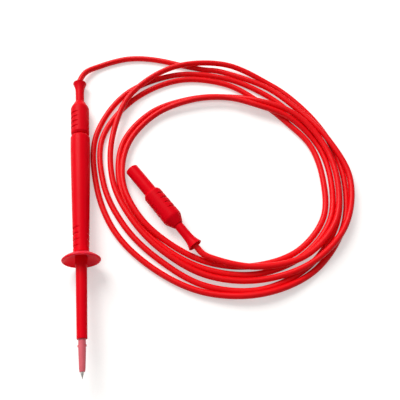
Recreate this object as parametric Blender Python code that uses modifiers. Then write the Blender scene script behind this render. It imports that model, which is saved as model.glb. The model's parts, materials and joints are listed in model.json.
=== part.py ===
"""Test probe with a coiled safety lead.

A slim handle carries a finger guard, a tapered barrel and a spring-loaded sleeve round the
needle. The lead has two equal 4 mm safety plugs: one sits in the socket at the handle's rear,
the other lies free inside the coil of the lead.

Units are metres and +Z is up. The probe lies on the table along Y with its needle towards -Y,
held up by the rim of its guard and by the shoulder of the plug behind it.
"""
import math

import bmesh
import bpy
from mathutils import Matrix, Vector

# Clearances
SEAT_GAP = 0.0003        # between faces that rest on each other along an axis
FIT_GAP = 0.00015        # radial gap round a piece that is pressed or screwed in
RUN_GAP = 0.0001         # radial gap round a piece that slides

# Handle
HANDLE_LENGTH = 0.0780
HANDLE_REAR_R = 0.0059
HANDLE_FRONT_R = 0.0044
HANDLE_STRAIGHT = 0.0050     # rear stretch before the taper
HANDLE_EDGE = 0.00055        # rounding of the rear edge, across
HANDLE_EDGE_LENGTH = 0.0015  # and along
GROOVE_WIDTH = 0.0013
GROOVE_DEPTH = 0.00055
GROOVE_HALF_ANGLE = math.radians(60)
GROOVE_ROLL = math.radians(-30)     # where the grooves stand round the axis
HANDLE_GROOVES = 5
HANDLE_GROOVE_PITCH = 0.00375
HANDLE_GROOVE_END = 0.0022          # last groove's distance from the front

# Plug, the same at both ends of the lead
PLUG_BODY_LENGTH = 0.0420    # bell end to flange face
SHROUD_LENGTH = 0.0203
SHROUD_R = 0.0040
SHROUD_WALL = 0.00095
SHROUD_ROOT = 0.0060         # how deep the shroud sits in the grip
SHROUD_WEB = 0.0030          # wall across the shroud that holds the pin
GRIP_REAR_R = 0.00575
GRIP_FRONT_R = 0.0056
GRIP_EDGE = 0.0004
GRIP_LENGTH = 0.0262
GRIP_SHOULDER = 0.0052
GRIP_CAVITY_R = 0.0034
GRIP_NECK_FACE = 0.0005      # width of the ring face round the boot
GRIP_GROOVES = 4
GRIP_GROOVE_PITCH = 0.0035
GRIP_GROOVE_END = 0.0022
BOOT_NECK_R = 0.00272
BOOT_BELL_R = 0.00428
BOOT_BELL_WALL = 0.0007
BOOT_BELL_LENGTH = 0.0050
BOOT_FLANGE_R = 0.00325
BOOT_FLANGE_LENGTH = 0.0017
PIN_R = 0.0020
PIN_REACH = 0.0190           # flange face to the tip of the pin
PIN_CORE_R = 0.0013
PIN_COLLAR_LENGTH = 0.0037
PIN_STEM_R = 0.0015
CRIMP_R = 0.0018
CRIMP_BORE_R = 0.0010
CRIMP_LENGTH = 0.0095
CRIMP_BORE_DEPTH = 0.0070
CAP_LENGTH = 0.0027
CAP_BORE_DEPTH = 0.0015
CAGE_WALL = 0.00015
CAGE_RING = 0.0011           # closed ring at each end of the cage
CAGE_SLOT = 0.0004
CAGE_SLOTS = 4
CLAMP_WALL = 0.00045
CLAMP_LENGTH = 0.0035
CONDUCTOR_R = 0.00085
STRIPPED_LENGTH = 0.0080

# Socket in the handle
FLANGE_GAP = 0.0012          # plug flange to handle face
SOCKET_FLOOR_GAP = 0.0006    # shroud end to the socket's floor
SHROUD_FIT = 0.00025         # shroud to socket wall
CONTACT_BORE_R = 0.0021
CONTACT_WALL = 0.00035
CONTACT_DEPTH_GAP = 0.0020   # pin tip to the bottom of the contact
CONTACT_TAIL = 0.0050
CONTACT_SLIT = 0.0004
CONTACT_SLIT_LENGTH = 0.0090
INSULATOR_WALL = 0.00025
INSULATOR_RECESS = 0.0010
INSULATOR_LIP = 0.0007
INSULATOR_SEAT = 0.0060      # length held in the handle past the socket's floor

# Current path through the handle
ROD_R = 0.0015
ROD_SPIGOT_R = 0.0012
ROD_SPIGOT_LENGTH = 0.0045
ROD_SETBACK = 0.0007         # rod end to handle front
ROD_GUIDE_LENGTH = 0.0040
ROD_GUIDE_PLACE = 0.0480
NEEDLE_R = 0.0010
NEEDLE_SEAT = 0.0070
NEEDLE_POINT = 0.0026        # length of the ground point
NEEDLE_TIP_R = 0.00008

# Barrel
STUB_R = 0.0029
STUB_LENGTH = 0.0100
COLLAR_R = 0.0033
COLLAR_LENGTH = 0.0060
BARREL_REAR_R = 0.00312
BARREL_MOUTH_R = 0.00275
BARREL_LENGTH = 0.0472       # handle front to mouth
BARREL_BORE_R = 0.0024
MOUTH_BORE_R = 0.00205
MOUTH_LIP = 0.0020
MOUTH_EDGE = 0.0002
NOTCH_WIDTH = 0.0012
NOTCH_LENGTH = 0.0012        # how far the notch shows on the outside

# Finger guard
GUARD_R = 0.0109
GUARD_DEPTH = 0.0046
GUARD_WALL = 0.0010
GUARD_HUB_R = 0.0044
GUARD_HUB_LENGTH = 0.0011
GUARD_LIP = 0.0010
GUARD_ARC = math.radians(55)

# Sleeve and spring
SLEEVE_REAR_R = 0.00194
SLEEVE_FRONT_R = 0.00163
SLEEVE_END_R = 0.00130
SLEEVE_NOSE = 0.0044         # length of the tapered end
SLEEVE_REACH = 0.0162        # mouth to sleeve end
SLEEVE_RING = 0.0020
SLEEVE_TAIL = 0.0029
NEEDLE_REACH = 0.0035        # sleeve end to needle point
LUG_PLACE = 0.0034           # mouth to lug
LUG_REACH = 0.0023
LUG_WIDTH = 0.0009
LUG_LENGTH = 0.0012
SPRING_ROOM = 0.0230
SPRING_WIRE_R = 0.0002
SPRING_R = 0.00175
SPRING_TURNS = 9
WASHER_THICKNESS = 0.0005

# Lead
CABLE_R = 0.0018
COIL_CENTRE = (0.0891, 0.0401)
FREE_BELL = (0.0632, -0.0068)           # bell end of the free plug on the table
FREE_HEADING = math.radians(121.6)      # where its pin points
PLACES_PER_TURN = 15
# The coil is laid clockwise from the side that faces the handle. Each turn gives its first
# clock place, its radii from the coil's centre and its lifts above the table.
COIL_TURNS = (
    (4,
     (0.0760, 0.0678, 0.0636, 0.0660, 0.0735, 0.0765, 0.0750, 0.0710, 0.0680, 0.0653, 0.0660),
     (0.0003, 0.0018, 0.0027, 0.0041, 0.0038, 0.0039, 0.0041, 0.0018, 0.0017, 0.0029, 0.0033)),
    (0,
     (0.0705, 0.0760, 0.0835, 0.0850, 0.0805, 0.0725, 0.0680, 0.0680, 0.0710, 0.0760, 0.0790,
      0.0790, 0.0775, 0.0760, 0.0780),
     (0.0026, 0.0031, 0.0040, 0.0043, 0.0032, 0.0, 0.0, 0.0, 0.0, 0.0, 0.0, 0.0025, 0.0010,
      0.0, 0.0)),
    (0,
     (0.0810, 0.0875, 0.0885, 0.0815, 0.0713, 0.0635, 0.0600, 0.0638, 0.0670, 0.0718, 0.0750,
      0.0760, 0.0735, 0.0700, 0.0715),
     (0.0,) * 15),
    (0,
     (0.0765, 0.0830, 0.0815, 0.0765, 0.0665, 0.0562, 0.0527, 0.0555, 0.0580, 0.0635, 0.0645,
      0.0620, 0.0599, 0.0589, 0.0614),
     (0.0, 0.0, 0.0, 0.0, 0.0, 0.0, 0.0, 0.0, 0.0, 0.0, 0.0, 0.0, 0.0, 0.0009, 0.0031)),
    (0,
     (0.0646, 0.0652, 0.0618, 0.0563, 0.0530, 0.0505, 0.0548, 0.0598, 0.0628, 0.0676, 0.0684,
      0.0670, 0.0642, 0.0626, 0.0638),
     (0.0029, 0.0018, 0.0016, 0.0030, 0.0034, 0.0043, 0.0033, 0.0, 0.0, 0.0, 0.0, 0.0, 0.0,
      0.0, 0.0)),
    (0,
     (0.0670, 0.0692, 0.0658, 0.0595, 0.0560, 0.0544, 0.0585, 0.0619, 0.0656, 0.0704, 0.0698,
      0.0638, 0.0580),
     (0.0, 0.0, 0.0, 0.0, 0.0, 0.0039, 0.0045, 0.0036, 0.0038, 0.0036, 0.0039, 0.0039,
      0.0037)),
)
# From the plug's bell to the coil, on the table behind the probe
LEAD_IN = (
    (0.0008, 0.1204, 0.0043),
    (0.0048, 0.1266, 0.0034),
    (0.0141, 0.1315, 0.0018),
    (0.0275, 0.1348, 0.0018),
    (0.0377, 0.1351, 0.0018),
    (0.0479, 0.1333, 0.0018),
    (0.0580, 0.1300, 0.0018),
    (0.0701, 0.1249, 0.0018),
    (0.0829, 0.1202, 0.0018),
)

# Facets round a turned piece
FINE = 30
MEDIUM = 24
COARSE = 20
SMALL = 16
ARC_POINTS = 4

RED = ("red plastic", (0.62, 0.006, 0.014, 1.0), 0.32, 0.0)
SOFT_RED = ("soft red plastic", (0.66, 0.008, 0.018, 1.0), 0.42, 0.0)
SILICONE = ("silicone", (0.70, 0.010, 0.020, 1.0), 0.36, 0.0)
CLEAR_PINK = ("pink sleeve plastic", (0.72, 0.16, 0.17, 1.0), 0.25, 0.0)
STEEL = ("steel", (0.62, 0.61, 0.59, 1.0), 0.25, 1.0)
BRASS = ("nickelled brass", (0.66, 0.58, 0.40, 1.0), 0.28, 1.0)
COPPER = ("copper strand", (0.72, 0.30, 0.16, 1.0), 0.35, 1.0)
CREAM = ("insulating plastic", (0.72, 0.68, 0.60, 1.0), 0.45, 0.0)

# Places worked out from the sizes above. On the probe, s runs from the handle's rear face
# towards the needle. On a plug, z runs from the flange face towards the pin's tip.
guard_start = HANDLE_LENGTH + SEAT_GAP
mouth = HANDLE_LENGTH + BARREL_LENGTH
sleeve_end = mouth + SLEEVE_REACH
needle_tip = sleeve_end + NEEDLE_REACH
ring_front = mouth - MOUTH_LIP - SEAT_GAP
sleeve_start = ring_front - SLEEVE_RING - SLEEVE_TAIL
spring_floor = sleeve_start - SPRING_ROOM
rod_end = HANDLE_LENGTH - ROD_SETBACK
socket_floor = SHROUD_LENGTH - FLANGE_GAP + SOCKET_FLOOR_GAP
insulator_end = socket_floor + INSULATOR_SEAT
contact_end = insulator_end + CONTACT_TAIL
contact_r = CONTACT_BORE_R + CONTACT_WALL
insulator_r = contact_r + FIT_GAP + INSULATOR_WALL
handle_core_r = contact_r + FIT_GAP
crimp_front = -SHROUD_ROOT - SEAT_GAP
crimp_rear = crimp_front - CRIMP_LENGTH
conductor_front = crimp_rear + CRIMP_BORE_DEPTH - SEAT_GAP
jacket_end = conductor_front - STRIPPED_LENGTH
clamp_front = jacket_end - SEAT_GAP
boot_front = clamp_front - CLAMP_LENGTH - SEAT_GAP
boot_bore_r = CABLE_R + SEAT_GAP

# The probe's tilt lets the guard's rim and the plug's shoulder touch the table together.
guard_rim = guard_start + GUARD_DEPTH - GUARD_WALL * math.cos(GUARD_ARC)
plug_shoulder = -FLANGE_GAP - GRIP_LENGTH + GRIP_SHOULDER
tilt = math.atan2(GUARD_R - GRIP_REAR_R, guard_rim - plug_shoulder)
rear_height = GUARD_R * math.cos(tilt) - guard_rim * math.sin(tilt)
rear_edge_r = HANDLE_REAR_R - HANDLE_EDGE
rear_y = (needle_tip * math.cos(tilt) - rear_edge_r * math.sin(tilt)) / 2


def start_scene():
    """Empty the file and return one collection for the parts and one for the cutters."""
    for old in list(bpy.data.objects):
        bpy.data.objects.remove(old, do_unlink=True)
    parts = bpy.data.collections.new("test_probe")
    tools = bpy.data.collections.new("cutters")
    for collection in (parts, tools):
        bpy.context.scene.collection.children.link(collection)
    return parts, tools


PARTS, CUTTERS = start_scene()


def finish(obj, look):
    """Give the object a material of its own from (name, colour, roughness, metallic)."""
    kind, colour, roughness, metallic = look
    material = bpy.data.materials.new(f"{obj.name} {kind}")
    material.use_nodes = True
    shader = material.node_tree.nodes["Principled BSDF"]
    shader.inputs["Base Color"].default_value = colour
    shader.inputs["Roughness"].default_value = roughness
    shader.inputs["Metallic"].default_value = metallic
    obj.data.materials.append(material)


def add_object(name, data, parent, look=None):
    """Link a new part, or a cutter when it has no look, under its parent empty."""
    obj = bpy.data.objects.new(name, data)
    obj.parent = parent
    if look:
        PARTS.objects.link(obj)
        finish(obj, look)
    else:
        CUTTERS.objects.link(obj)
        obj.hide_render = True
        obj.display_type = "WIRE"
    return obj


def add_axis(name, parent=None, location=(0, 0, 0), rotation=(0, 0, 0)):
    """An empty whose Z is the axis that its turned pieces share."""
    empty = bpy.data.objects.new(name, None)
    empty.parent = parent
    empty.location = location
    empty.rotation_euler = rotation
    empty.empty_display_size = 0.01
    PARTS.objects.link(empty)
    return empty


def turned(name, loops, parent, look=None, steps=SMALL):
    """Turn (radius, height) profiles about Z. A profile runs down the outer side first.

    A profile that starts and ends on the axis stays open, any other is closed."""
    mesh = bpy.data.meshes.new(name)
    points = []
    edges = []
    for loop in loops:
        first = len(points)
        points += [(radius, 0.0, height) for radius, height in loop]
        last = len(points) - 1
        edges += [(i, i + 1) for i in range(first, last)]
        if loop[0][0] > 0 or loop[-1][0] > 0:
            edges.append((last, first))
    mesh.from_pydata(points, edges, [])
    obj = add_object(name, mesh, parent, look)
    screw = obj.modifiers.new("turn", "SCREW")
    screw.axis = "Z"
    screw.steps = steps
    screw.render_steps = steps
    screw.use_merge_vertices = True
    screw.merge_threshold = 1e-6
    screw.use_smooth_shade = True
    return obj


def block(name, size, centre, parent):
    """A box cutter."""
    mesh = bpy.data.meshes.new(name)
    shape = bmesh.new()
    bmesh.ops.create_cube(shape, size=1.0)
    bmesh.ops.scale(shape, vec=size, verts=shape.verts)
    bmesh.ops.translate(shape, vec=centre, verts=shape.verts)
    shape.to_mesh(mesh)
    shape.free()
    return add_object(name, mesh, parent)


def combine(obj, tool, operation="DIFFERENCE"):
    """Cut the object by a tool, or join the tool to it."""
    modifier = obj.modifiers.new(tool.name, "BOOLEAN")
    modifier.operation = operation
    modifier.solver = "EXACT"
    modifier.object = tool


def cut_grooves(obj, centres, radius_at, roll, parent):
    """Cut two opposite rows of crescent grooves that fade out round the body.

    Each row is a stack of rings whose common axis stands off the body's axis, so a ring is
    deepest in the row's middle and runs out at GROOVE_HALF_ANGLE."""
    middle_r = radius_at(sum(centres) / len(centres))
    spread = middle_r * (1 - math.cos(GROOVE_HALF_ANGLE)) - GROOVE_DEPTH
    offset = GROOVE_DEPTH * (2 * middle_r - GROOVE_DEPTH) / (2 * spread)
    for side in (0, 1):
        loops = []
        for centre in centres:
            inner = radius_at(centre) - GROOVE_DEPTH + offset
            outer = inner + 2 * offset
            half = GROOVE_WIDTH / 2
            floor = half * 0.45
            loops.append([(outer, centre + half * 2), (outer, centre - half * 2),
                          (inner + GROOVE_DEPTH, centre - half), (inner, centre - floor),
                          (inner, centre + floor), (inner + GROOVE_DEPTH, centre + half)])
        tool = turned(f"{obj.name}_grooves_{side}", loops, parent, steps=MEDIUM)
        angle = roll + math.pi * side
        tool.location = (-offset * math.cos(angle), -offset * math.sin(angle), 0)
        combine(obj, tool)


def arc(centre, reach, start, end, count=ARC_POINTS):
    """Points (radius, height) on an ellipse arc round a centre."""
    angles = [start + (end - start) * i / (count - 1) for i in range(count)]
    return [(centre[0] + reach[0] * math.cos(a), centre[1] + reach[1] * math.sin(a))
            for a in angles]


def handle_radius(s):
    """The handle is straight at the rear and eases down to its front radius."""
    along = max(0.0, (s - HANDLE_STRAIGHT) / (HANDLE_LENGTH - HANDLE_STRAIGHT))
    ease = (1 + math.cos(math.pi * along)) / 2
    return HANDLE_FRONT_R + (HANDLE_REAR_R - HANDLE_FRONT_R) * ease


def make_handle(axis):
    """Moulded handle: socket for the plug at the rear, seat for the barrel at the front."""
    stations = 7
    taper = [HANDLE_LENGTH + (HANDLE_STRAIGHT - HANDLE_LENGTH) * i / stations
             for i in range(stations + 1)]
    outer = [(handle_radius(s), s) for s in taper]
    edge = arc((rear_edge_r, HANDLE_EDGE_LENGTH), (HANDLE_EDGE, HANDLE_EDGE_LENGTH),
               0, -math.pi / 2, count=4)
    socket_r = SHROUD_R + SHROUD_FIT
    seat_r = insulator_r + FIT_GAP
    front_r = STUB_R + FIT_GAP
    front = HANDLE_LENGTH - STUB_LENGTH - SEAT_GAP
    inner = [(socket_r, 0.0), (socket_r, socket_floor), (seat_r, socket_floor),
             (seat_r, insulator_end + SEAT_GAP), (handle_core_r, insulator_end + SEAT_GAP),
             (handle_core_r, front), (front_r, front), (front_r, HANDLE_LENGTH)]
    handle = turned("handle_shell", [outer + edge + inner], axis, RED, FINE)
    last = HANDLE_LENGTH - HANDLE_GROOVE_END
    centres = [last - HANDLE_GROOVE_PITCH * i for i in range(HANDLE_GROOVES)]
    cut_grooves(handle, centres, handle_radius, GROOVE_ROLL, axis)


def make_socket(axis):
    """Slotted brass contact in a thin insulating tube, seen down the handle's rear."""
    lip_r = CONTACT_BORE_R + RUN_GAP
    start = INSULATOR_RECESS
    contact_start = start + INSULATOR_LIP + SEAT_GAP
    bore_r = contact_r + FIT_GAP
    turned("socket_insulator",
           [[(insulator_r, insulator_end), (insulator_r, start), (lip_r, start),
             (lip_r, start + INSULATOR_LIP), (bore_r, start + INSULATOR_LIP),
             (bore_r, insulator_end)]],
           axis, CREAM, MEDIUM)
    floor = PIN_REACH - FLANGE_GAP + CONTACT_DEPTH_GAP
    spigot_bore = ROD_SPIGOT_R + FIT_GAP
    spigot_floor = contact_end - ROD_SPIGOT_LENGTH - SEAT_GAP
    contact = turned("socket_contact",
                     [[(0, spigot_floor), (spigot_bore, spigot_floor), (spigot_bore, contact_end),
                       (contact_r, contact_end), (contact_r, contact_start),
                       (CONTACT_BORE_R, contact_start), (CONTACT_BORE_R, floor), (0, floor)]],
                     axis, BRASS, MEDIUM)
    slit_middle = contact_start + CONTACT_SLIT_LENGTH / 2 - SEAT_GAP
    slit_length = CONTACT_SLIT_LENGTH + SEAT_GAP
    for index, size in enumerate(((3 * contact_r, CONTACT_SLIT), (CONTACT_SLIT, 3 * contact_r))):
        combine(contact, block(f"contact_slit_{index}", (*size, slit_length),
                               (0, 0, slit_middle), axis))


def make_current_path(axis):
    """Rod through the handle, the bush that centres it, and the needle in its front end."""
    seat_r = NEEDLE_R + FIT_GAP
    seat_floor = rod_end - NEEDLE_SEAT
    shoulder = contact_end + SEAT_GAP
    turned("contact_rod",
           [[(0, seat_floor), (seat_r, seat_floor), (seat_r, rod_end), (ROD_R, rod_end),
             (ROD_R, shoulder), (ROD_SPIGOT_R, shoulder),
             (ROD_SPIGOT_R, contact_end - ROD_SPIGOT_LENGTH),
             (0, contact_end - ROD_SPIGOT_LENGTH)]],
           axis, BRASS, SMALL)
    guide_in = ROD_R + FIT_GAP
    guide_out = handle_core_r - FIT_GAP
    guide_end = ROD_GUIDE_PLACE + ROD_GUIDE_LENGTH
    turned("rod_guide",
           [[(guide_out, guide_end), (guide_out, ROD_GUIDE_PLACE), (guide_in, ROD_GUIDE_PLACE),
             (guide_in, guide_end)]],
           axis, CREAM, SMALL)
    needle_start = seat_floor + SEAT_GAP
    turned("probe_needle",
           [[(0, needle_tip), (NEEDLE_TIP_R, needle_tip), (NEEDLE_R, needle_tip - NEEDLE_POINT),
             (NEEDLE_R, needle_start), (0, needle_start)]],
           axis, STEEL, SMALL)


def make_guard(axis):
    """Umbrella-shaped finger guard, clamped by its lip between handle and barrel."""
    rise = GUARD_DEPTH - GUARD_HUB_LENGTH - GUARD_WALL * math.cos(GUARD_ARC)
    hub_end = guard_start + GUARD_HUB_LENGTH
    reach = GUARD_R - GUARD_HUB_R
    dome = []
    lining = []
    for i in range(ARC_POINTS + 1):
        turn = GUARD_ARC * i / ARC_POINTS
        radius = GUARD_HUB_R + reach * math.sin(turn) / math.sin(GUARD_ARC)
        height = hub_end + rise * (1 - math.cos(turn)) / (1 - math.cos(GUARD_ARC))
        across = Vector((reach * math.cos(turn) / math.sin(GUARD_ARC),
                         rise * math.sin(turn) / (1 - math.cos(GUARD_ARC)))).normalized()
        dome.append((radius, height))
        lining.append((radius - GUARD_WALL * across.y, height + GUARD_WALL * across.x))
    lip_r = STUB_R + FIT_GAP
    bore_r = COLLAR_R + FIT_GAP
    lip_end = guard_start + GUARD_LIP
    hub = [(GUARD_HUB_R, guard_start), (lip_r, guard_start), (lip_r, lip_end),
           (bore_r, lip_end), (bore_r, lining[0][1])]
    turned("finger_guard", [list(reversed(dome)) + hub + lining], axis, RED, FINE)


def make_barrel(axis):
    """Tapered barrel with a stub in the handle, a collar in the guard and a notched mouth."""
    stub_start = HANDLE_LENGTH - STUB_LENGTH
    collar_start = guard_start + GUARD_LIP + SEAT_GAP
    collar_end = collar_start + COLLAR_LENGTH
    rod_bore = ROD_R + FIT_GAP
    needle_bore = NEEDLE_R + FIT_GAP
    rod_stop = rod_end + SEAT_GAP
    lip = mouth - MOUTH_LIP
    profile = [(MOUTH_BORE_R, mouth), (BARREL_MOUTH_R - MOUTH_EDGE, mouth),
               (BARREL_MOUTH_R, mouth - MOUTH_EDGE), (BARREL_REAR_R, collar_end),
               (COLLAR_R, collar_end - MOUTH_EDGE), (COLLAR_R, collar_start),
               (STUB_R, collar_start), (STUB_R, stub_start), (rod_bore, stub_start),
               (rod_bore, rod_stop), (needle_bore, rod_stop), (needle_bore, spring_floor),
               (BARREL_BORE_R, spring_floor), (BARREL_BORE_R, lip), (MOUTH_BORE_R, lip)]
    barrel = turned("probe_barrel", [profile], axis, RED, MEDIUM)
    inside = (2 * BARREL_BORE_R + RUN_GAP, NOTCH_WIDTH, MOUTH_LIP + 2 * SEAT_GAP)
    combine(barrel, block("lug_way", inside, (0, 0, mouth - MOUTH_LIP / 2), axis))
    outside = (3 * BARREL_MOUTH_R, NOTCH_WIDTH, 2 * NOTCH_LENGTH)
    combine(barrel, block("mouth_notch", outside, (0, 0, mouth), axis))


def make_sleeve(axis):
    """Sprung sleeve that covers the needle, with two lugs that pass the mouth's notches."""
    bore_r = NEEDLE_R + FIT_GAP
    ring_r = BARREL_BORE_R - RUN_GAP
    ring_rear = ring_front - SLEEVE_RING
    profile = [(bore_r, sleeve_end), (SLEEVE_END_R, sleeve_end),
               (SLEEVE_FRONT_R, sleeve_end - SLEEVE_NOSE), (SLEEVE_REAR_R, mouth),
               (SLEEVE_REAR_R, ring_front), (ring_r, ring_front), (ring_r, ring_rear),
               (SLEEVE_REAR_R, ring_rear), (SLEEVE_REAR_R, sleeve_start),
               (bore_r, sleeve_start)]
    sleeve = turned("tip_sleeve", [profile], axis, CLEAR_PINK, MEDIUM)
    root = (SLEEVE_FRONT_R + bore_r) / 2
    for side in (-1, 1):
        size = (LUG_REACH - root, LUG_WIDTH, LUG_LENGTH)
        centre = (side * (LUG_REACH + root) / 2, 0, mouth + LUG_PLACE)
        combine(sleeve, block(f"sleeve_lug_{side}", size, centre, axis), "UNION")


def make_spring(axis):
    """Compression spring with closed end turns, and the washer that it stands on."""
    washer_start = spring_floor + SEAT_GAP
    washer_end = washer_start + WASHER_THICKNESS
    washer_in = NEEDLE_R + FIT_GAP
    washer_out = BARREL_BORE_R - FIT_GAP
    turned("spring_washer",
           [[(washer_out, washer_end), (washer_out, washer_start), (washer_in, washer_start),
             (washer_in, washer_end)]],
           axis, STEEL, SMALL)
    places = 8
    low = washer_end + SEAT_GAP + SPRING_WIRE_R
    high = sleeve_start - SEAT_GAP - SPRING_WIRE_R
    end_rise = 2.4 * SPRING_WIRE_R
    points = []
    for i in range(SPRING_TURNS * places + 1):
        turn = i / places
        middle = (turn - 1) / (SPRING_TURNS - 2)
        rise = end_rise * turn if turn < 1 else high - end_rise * (SPRING_TURNS - turn) - low
        if 1 <= turn <= SPRING_TURNS - 1:
            rise = end_rise + (high - low - 2 * end_rise) * middle
        angle = 2 * math.pi * turn
        points.append((SPRING_R * math.cos(angle), SPRING_R * math.sin(angle), low + rise))
    tube("sleeve_spring", points, SPRING_WIRE_R, axis, STEEL, sides=1)


def tube(name, points, radius, parent, look, sides=2):
    """A round wire or cable along points."""
    curve = bpy.data.curves.new(name, "CURVE")
    curve.dimensions = "3D"
    curve.bevel_depth = radius
    curve.bevel_resolution = sides
    curve.use_fill_caps = True
    spline = curve.splines.new("POLY")
    spline.points.add(len(points) - 1)
    for target, point in zip(spline.points, points):
        target.co = (*point, 1.0)
    return add_object(name, curve, parent, look)


def grip_radius(z):
    """The grip narrows slightly towards the flange."""
    along = -z / (GRIP_LENGTH - GRIP_SHOULDER)
    return GRIP_FRONT_R + (GRIP_REAR_R - GRIP_FRONT_R) * min(1.0, along)


def make_grip(prefix, axis, roll):
    """Moulded grip with crescent grooves, round the shroud's root and the cable's clamp."""
    rear = -GRIP_LENGTH
    neck_hole = BOOT_NECK_R + FIT_GAP
    neck_face = neck_hole + GRIP_NECK_FACE
    shoulder = rear + GRIP_SHOULDER
    flange_r = GRIP_FRONT_R
    front = [(flange_r - GRIP_EDGE, 0.0), (flange_r, -GRIP_EDGE)]
    side = arc((neck_face, shoulder), (GRIP_REAR_R - neck_face, GRIP_SHOULDER),
               0, -math.radians(78))
    cavity_rear = boot_front - BOOT_FLANGE_LENGTH - SEAT_GAP
    shroud_seat = -SHROUD_ROOT - SEAT_GAP
    shroud_hole = SHROUD_R + FIT_GAP
    inner = [(neck_face, rear), (neck_hole, rear), (neck_hole, cavity_rear),
             (GRIP_CAVITY_R, cavity_rear), (GRIP_CAVITY_R, shroud_seat),
             (shroud_hole, shroud_seat), (shroud_hole, 0.0)]
    grip = turned(f"{prefix}_grip", [front + side + inner], axis, SOFT_RED, MEDIUM)
    centres = [-GRIP_GROOVE_END - GRIP_GROOVE_PITCH * i for i in range(GRIP_GROOVES)]
    cut_grooves(grip, centres, grip_radius, roll, axis)


def make_boot(prefix, axis):
    """Flexible neck with a bell mouth round the cable, anchored in the grip by its flange."""
    flange_rear = boot_front - BOOT_FLANGE_LENGTH
    bell_end = -PLUG_BODY_LENGTH
    bell_start = bell_end + BOOT_BELL_LENGTH
    outer = []
    inner = []
    for i in range(ARC_POINTS):
        along = i / (ARC_POINTS - 1)
        height = bell_start - BOOT_BELL_LENGTH * along
        flare = along ** 1.6
        outer.append((BOOT_NECK_R + (BOOT_BELL_R - BOOT_NECK_R) * flare, height))
        bell_bore = BOOT_BELL_R - BOOT_BELL_WALL
        inner.append((boot_bore_r + (bell_bore - boot_bore_r) * flare, height))
    profile = [(boot_bore_r, boot_front), (BOOT_FLANGE_R, boot_front),
               (BOOT_FLANGE_R, flange_rear), (BOOT_NECK_R, flange_rear)]
    turned(f"{prefix}_boot", [profile + outer + list(reversed(inner))], axis, SOFT_RED, COARSE)


def make_shroud(prefix, axis):
    """Fixed shroud round the pin, with the web that holds the pin."""
    bore_r = SHROUD_R - SHROUD_WALL
    web_r = PIN_STEM_R + FIT_GAP
    web_front = -SHROUD_ROOT + SHROUD_WEB
    edge = SHROUD_WALL / 4
    turned(f"{prefix}_shroud",
           [[(bore_r, SHROUD_LENGTH), (SHROUD_R - edge, SHROUD_LENGTH),
             (SHROUD_R, SHROUD_LENGTH - edge), (SHROUD_R, -SHROUD_ROOT), (web_r, -SHROUD_ROOT),
             (web_r, web_front), (bore_r, web_front)]],
           axis, RED, MEDIUM)


def make_pin(prefix, axis):
    """Pin with its crimp barrel, the sprung contact cage on it, and the cap on its end."""
    collar_rear = -SHROUD_ROOT + SHROUD_WEB + SEAT_GAP
    collar_front = collar_rear + PIN_COLLAR_LENGTH
    cap_rear = PIN_REACH - CAP_LENGTH
    core_end = cap_rear + CAP_BORE_DEPTH - SEAT_GAP
    bore_floor = crimp_rear + CRIMP_BORE_DEPTH
    turned(f"{prefix}_pin",
           [[(0, core_end), (PIN_CORE_R, core_end), (PIN_CORE_R, collar_front),
             (PIN_R, collar_front), (PIN_R, collar_rear), (PIN_STEM_R, collar_rear),
             (PIN_STEM_R, crimp_front), (CRIMP_R, crimp_front), (CRIMP_R, crimp_rear),
             (CRIMP_BORE_R, crimp_rear), (CRIMP_BORE_R, bore_floor), (0, bore_floor)]],
           axis, BRASS, SMALL)
    cap_bore = PIN_CORE_R + FIT_GAP
    bore_end = cap_rear + CAP_BORE_DEPTH
    nose = PIN_R * 0.45
    tip = arc((PIN_R - nose, PIN_REACH - nose), (nose, nose), math.pi / 2, 0, count=3)
    turned(f"{prefix}_pin_cap",
           [[(0, PIN_REACH)] + tip + [(PIN_R, cap_rear), (cap_bore, cap_rear),
                                      (cap_bore, bore_end), (0, bore_end)]],
           axis, BRASS, SMALL)
    cage_rear = collar_front + SEAT_GAP
    cage_front = cap_rear - SEAT_GAP
    ring_r = PIN_CORE_R + FIT_GAP + CAGE_WALL
    outer = []
    count = 6
    for i in range(count):
        along = i / (count - 1)
        bulge = math.sin(math.pi * along) ** 1.5
        outer.append((ring_r + (PIN_R - ring_r) * bulge,
                      cage_front + (cage_rear - cage_front) * along))
    inner = [(radius - CAGE_WALL, height) for radius, height in reversed(outer)]
    cage = turned(f"{prefix}_contact_cage", [outer + inner], axis, BRASS, SMALL)
    slot_length = cage_front - cage_rear - 2 * CAGE_RING
    for i in range(CAGE_SLOTS // 2):
        slot = block(f"{prefix}_cage_slot_{i}", (3 * PIN_R, CAGE_SLOT, slot_length),
                     (0, 0, (cage_front + cage_rear) / 2), axis)
        slot.rotation_euler.z = 2 * math.pi * i / CAGE_SLOTS
        combine(cage, slot)


def make_cable_end(prefix, axis):
    """Stripped conductor in the crimp barrel, and the ring that clamps the jacket."""
    turned(f"{prefix}_conductor",
           [[(0, conductor_front), (CONDUCTOR_R, conductor_front),
             (CONDUCTOR_R, jacket_end + SEAT_GAP), (0, jacket_end + SEAT_GAP)]],
           axis, COPPER, SMALL)
    clamp_in = CABLE_R + FIT_GAP
    clamp_out = clamp_in + CLAMP_WALL
    clamp_rear = clamp_front - CLAMP_LENGTH
    turned(f"{prefix}_cable_clamp",
           [[(clamp_out, clamp_front), (clamp_out, clamp_rear), (clamp_in, clamp_rear),
             (clamp_in, clamp_front)]],
           axis, BRASS, SMALL)


def make_plug(prefix, axis, roll):
    """One safety plug from bell to pin."""
    make_grip(prefix, axis, roll)
    make_boot(prefix, axis)
    make_shroud(prefix, axis)
    make_pin(prefix, axis)
    make_cable_end(prefix, axis)


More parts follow.
